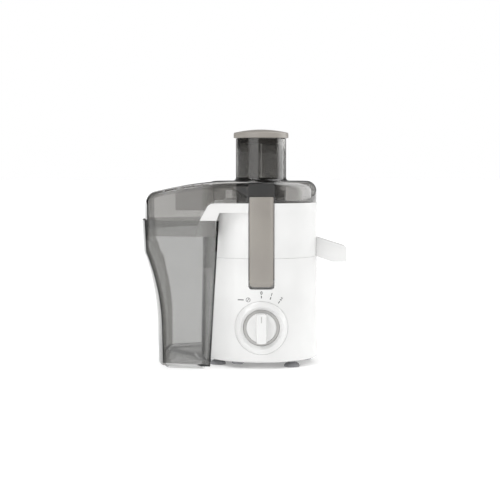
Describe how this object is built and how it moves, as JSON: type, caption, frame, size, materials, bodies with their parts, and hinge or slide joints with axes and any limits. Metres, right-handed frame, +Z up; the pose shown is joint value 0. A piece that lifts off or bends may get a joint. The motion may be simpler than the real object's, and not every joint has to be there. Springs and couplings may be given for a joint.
{
  "type": "centrifugal juicer",
  "caption": "Centrifugal juicer: round motor body, spinning sieve basket under a smoked lid with feed tube, side pulp bin, front and rear latches, juice spout and speed dial.",
  "frame": {"origin": "on the table, under the middle of the whole: halfway between the pulp bin's end and the spout's end, and halfway between the knob's face and the bin's rear side", "axes": "+X towards the juice spout, -X towards the pulp bin, -Y towards the front with the dial, +Z up"},
  "size_m": [0.3046, 0.1884, 0.3483],
  "materials": {
    "white_plastic": "satin white ABS",
    "smoked_plastic": "clear smoke-grey SAN, polished",
    "warm_grey_plastic": "fine satin warm grey",
    "pale_grey_plastic": "satin pale grey",
    "foot_rubber": "soft grey rubber",
    "black_rubber": "moulded rubber",
    "black_plastic": "glass-filled black plastic",
    "steel": "machined and pressed steel",
    "stainless": "bright pressed stainless steel",
    "copper": "enamelled copper wire and bars",
    "brass": "drawn brass tube",
    "circuit_board": "coated board"
  },
  "bodies": {
    "base": {"motor_housing": "white_plastic", "base_plate": "white_plastic", "feet": "foot_rubber", "front_pad": "foot_rubber", "base_screws": "steel", "cord_inlet": "black_rubber", "stator_core": "steel", "field_coils": "copper", "top_bearing": "steel", "bottom_bearing": "steel", "top_bracket": "steel", "bottom_bracket": "steel", "motor_dampers": "black_rubber", "brush_holders": "brass", "carbon_brushes": "black_plastic", "rotary_switch": "black_plastic", "dial_ring": "pale_grey_plastic", "dial_surround": "white_plastic", "filter_board": "circuit_board", "front_microswitch": "black_plastic", "rear_microswitch": "black_plastic", "front_latch_pin": "steel", "rear_latch_pin": "steel", "juice_bowl": "white_plastic", "juice_spout": "white_plastic", "lid": "smoked_plastic", "pulp_bin": "smoked_plastic"},
    "spinner": {"motor_shaft": "steel", "armature_core": "steel", "armature_windings": "copper", "commutator": "copper", "cooling_fan": "black_plastic", "drive_coupling": "black_plastic", "basket_hub": "white_plastic", "grater_disc": "stainless", "sieve": "stainless", "basket_rim": "warm_grey_plastic"},
    "knob": {"knob": "white_plastic", "switch_shaft": "steel"},
    "pusher": {"pusher_body": "smoked_plastic", "pusher_cap": "warm_grey_plastic"},
    "front_latch": {"front_latch": "warm_grey_plastic"},
    "rear_latch": {"rear_latch": "warm_grey_plastic"}
  },
  "joints": [
    {"name": "basket_spin", "type": "hinge", "parent": "base", "child": "spinner", "pos_m": [0.02475, 0.00621, 0.1], "axis": [0, 0, 1], "continuous": true},
    {"name": "pusher_slide", "type": "slide", "parent": "base", "child": "pusher", "axis": [0, 0, 1], "range_m": [0, 0.13]},
    {"name": "knob_turn", "type": "hinge", "parent": "base", "child": "knob", "pos_m": [0.02475, -0.07879, 0.06], "axis": [0, 1, 0], "range_deg": [-25, 34.5]},
    {"name": "front_latch_swing", "type": "hinge", "parent": "base", "child": "front_latch", "pos_m": [0.02475, -0.07279, 0.129], "axis": [1, 0, 0], "range_deg": [0, 40]},
    {"name": "rear_latch_swing", "type": "hinge", "parent": "base", "child": "rear_latch", "pos_m": [0.02475, 0.08521, 0.129], "axis": [-1, 0, 0], "range_deg": [0, 40]}
  ]
}
